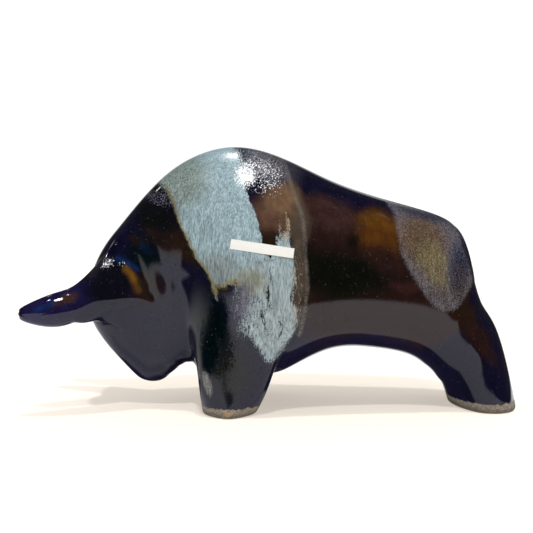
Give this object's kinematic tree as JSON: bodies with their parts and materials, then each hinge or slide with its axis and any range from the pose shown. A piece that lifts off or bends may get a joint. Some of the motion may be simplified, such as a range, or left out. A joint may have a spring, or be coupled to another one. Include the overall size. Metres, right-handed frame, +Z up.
{
  "type": "bull sculpture",
  "caption": "Glazed ceramic bull with a high shoulder hump, lowered head and forward horns, standing on two joined pairs of legs.",
  "frame": {"origin": "centre of the footprint's bounding box, on the plane the soles stand on", "axes": "+X from the horns to the tail, +Y to the bull's right, +Z up"},
  "size_m": [0.3268, 0.1192, 0.1763],
  "materials": {
    "glazed_body": "glossy dark indigo and brown running glaze with pale blue streaked patches",
    "label_paper": "matt white"
  },
  "bodies": {
    "root": {"bull": "glazed_body", "paper_label": "label_paper"}
  },
  "joints": []
}
